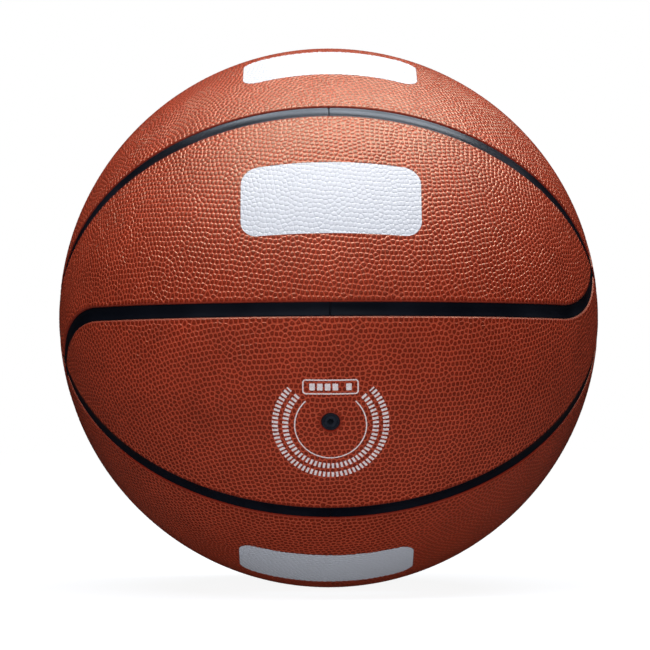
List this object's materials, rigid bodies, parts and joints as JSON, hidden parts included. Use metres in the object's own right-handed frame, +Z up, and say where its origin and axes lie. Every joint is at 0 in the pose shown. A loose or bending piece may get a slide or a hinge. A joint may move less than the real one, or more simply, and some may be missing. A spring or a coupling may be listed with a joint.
{
  "type": "basketball",
  "caption": "Full-size inflated basketball of pebbled composite panels between recessed black channel ribs, with a needle valve and its inner layers.",
  "frame": {"origin": "centre of the ball", "axes": "+X from the centre to the point where the two straight seams cross on the right of the picture, -Y to the middle of the front where the wandering seam runs level, +Z up; the valve is in the YZ plane, 22.8 degrees below -Y"},
  "size_m": [0.2404, 0.2404, 0.2404],
  "materials": {
    "cover": "pebbled composite leather, orange-red, slightly tacky",
    "rib": "satin black rubber",
    "sponge": "matt sponge rubber",
    "thread": "waxed nylon thread",
    "butyl": "smooth butyl rubber",
    "valve": "smooth black rubber",
    "plug": "smooth black rubber"
  },
  "bodies": {
    "root": {"panel_front_upper": "cover", "panel_front_lower": "cover", "panel_top_front": "cover", "panel_top_back": "cover", "panel_back_upper": "cover", "panel_back_lower": "cover", "panel_bottom_front": "cover", "panel_bottom_back": "cover", "rib_frame_right": "rib", "rib_frame_left": "rib", "carcass": "sponge", "winding": "thread", "bladder": "butyl", "valve_body": "valve", "valve_plug": "plug"}
  },
  "joints": []
}
